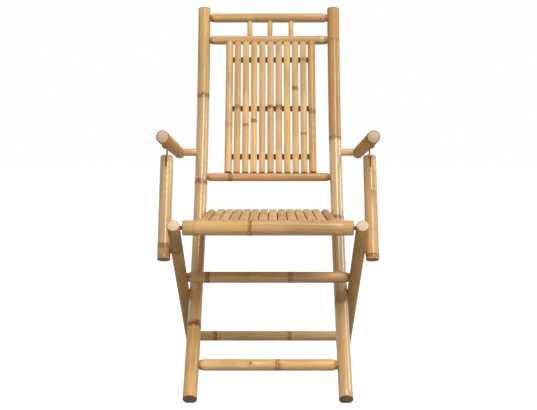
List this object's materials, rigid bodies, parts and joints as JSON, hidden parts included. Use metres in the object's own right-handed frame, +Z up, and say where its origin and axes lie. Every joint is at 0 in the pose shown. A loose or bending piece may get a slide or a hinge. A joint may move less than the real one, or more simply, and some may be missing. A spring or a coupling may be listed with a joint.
{
  "type": "folding cane recliner",
  "caption": "Folding armchair of round bamboo canes: bent back poles cross straight legs, with a slatted seat, a slatted back, cane arms and swinging arm posts.",
  "frame": {"origin": "middle of the chair's footprint, on the floor", "axes": "+Z up, the sitter faces -Y, +X to the right as seen from the front"},
  "size_m": [0.5302, 0.6866, 0.9991],
  "materials": {
    "cane": "glossy varnished round bamboo, golden tan",
    "split_cane": "glossy varnished split bamboo, pale golden tan",
    "batten": "dark brown varnished bamboo strip",
    "pin": "reddish brown wooden dowel",
    "tongue_metal": "dull brassy metal plate"
  },
  "bodies": {
    "back_frame": {"back_pole_left": "cane", "back_pole_right": "cane", "top_rail": "cane", "second_rail": "cane", "lower_back_rail": "cane", "front_stretcher": "cane", "seat_rest_bar": "cane", "spindle_1": "cane", "spindle_2": "cane", "spindle_3": "cane", "back_side_pole_left": "cane", "back_side_pole_right": "cane", "back_slat_1": "split_cane", "back_slat_2": "split_cane", "back_slat_3": "split_cane", "back_slat_4": "split_cane", "back_slat_5": "split_cane", "back_slat_6": "split_cane", "back_slat_7": "split_cane", "back_slat_8": "split_cane", "back_slat_9": "split_cane", "back_batten_lower": "batten", "back_batten_middle": "batten", "back_batten_upper": "batten", "arm_dowel_left": "cane", "arm_dowel_right": "cane", "main_pivot_left": "pin", "main_pivot_right": "pin"},
    "leg_frame": {"leg_left": "cane", "leg_right": "cane", "mid_stretcher": "cane", "rear_stretcher": "cane", "post_pivot_left": "pin", "post_pivot_right": "pin", "seat_pivot_left": "pin", "seat_pivot_right": "pin"},
    "seat": {"front_seat_rail": "cane", "seat_side_pole_left": "cane", "seat_side_pole_right": "cane", "seat_slat_1": "split_cane", "seat_slat_2": "split_cane", "seat_slat_3": "split_cane", "seat_slat_4": "split_cane", "seat_slat_5": "split_cane", "seat_slat_6": "split_cane", "seat_slat_7": "split_cane", "seat_slat_8": "split_cane", "seat_slat_9": "split_cane", "seat_slat_10": "split_cane", "seat_slat_11": "split_cane", "seat_slat_12": "split_cane", "seat_front_batten": "batten", "seat_middle_batten": "batten", "seat_rear_batten": "batten"},
    "arm_unit_left": {"arm_left": "cane", "arm_tongue_left": "tongue_metal"},
    "arm_unit_right": {"arm_right": "cane", "arm_tongue_right": "tongue_metal"},
    "post_unit_left": {"arm_post_left": "cane"},
    "post_unit_right": {"arm_post_right": "cane"}
  },
  "joints": [
    {"name": "fold", "type": "hinge", "parent": "back_frame", "child": "leg_frame", "pos_m": [0, -0.0555, 0.23494], "axis": [-1, 0, 0], "range_deg": [0, 72]},
    {"name": "seat_lift", "type": "hinge", "parent": "leg_frame", "child": "seat", "pos_m": [0, -0.31441, 0.41964], "axis": [1, 0, 0], "range_deg": [0, 173]},
    {"name": "post_swing_left", "type": "hinge", "parent": "leg_frame", "child": "post_unit_left", "pos_m": [-0.2486, -0.23265, 0.35647], "axis": [-1, 0, 0], "range_deg": [0, 103]},
    {"name": "post_swing_right", "type": "hinge", "parent": "leg_frame", "child": "post_unit_right", "pos_m": [0.2486, -0.23265, 0.35647], "axis": [-1, 0, 0], "range_deg": [0, 103]},
    {"name": "arm_lift_left", "type": "hinge", "parent": "back_frame", "child": "arm_unit_left", "pos_m": [-0.2486, 0.1854, 0.5858], "axis": [-1, 0, 0], "range_deg": [0, 100]},
    {"name": "arm_lift_right", "type": "hinge", "parent": "back_frame", "child": "arm_unit_right", "pos_m": [0.2486, 0.1854, 0.5858], "axis": [-1, 0, 0], "range_deg": [0, 100]}
  ],
  "couplings": [
    {"joint": "seat_lift", "follows": "fold", "ratio": 2.4},
    {"joint": "post_swing_left", "follows": "fold", "ratio": 1.43},
    {"joint": "post_swing_right", "follows": "fold", "ratio": 1.43}
  ]
}
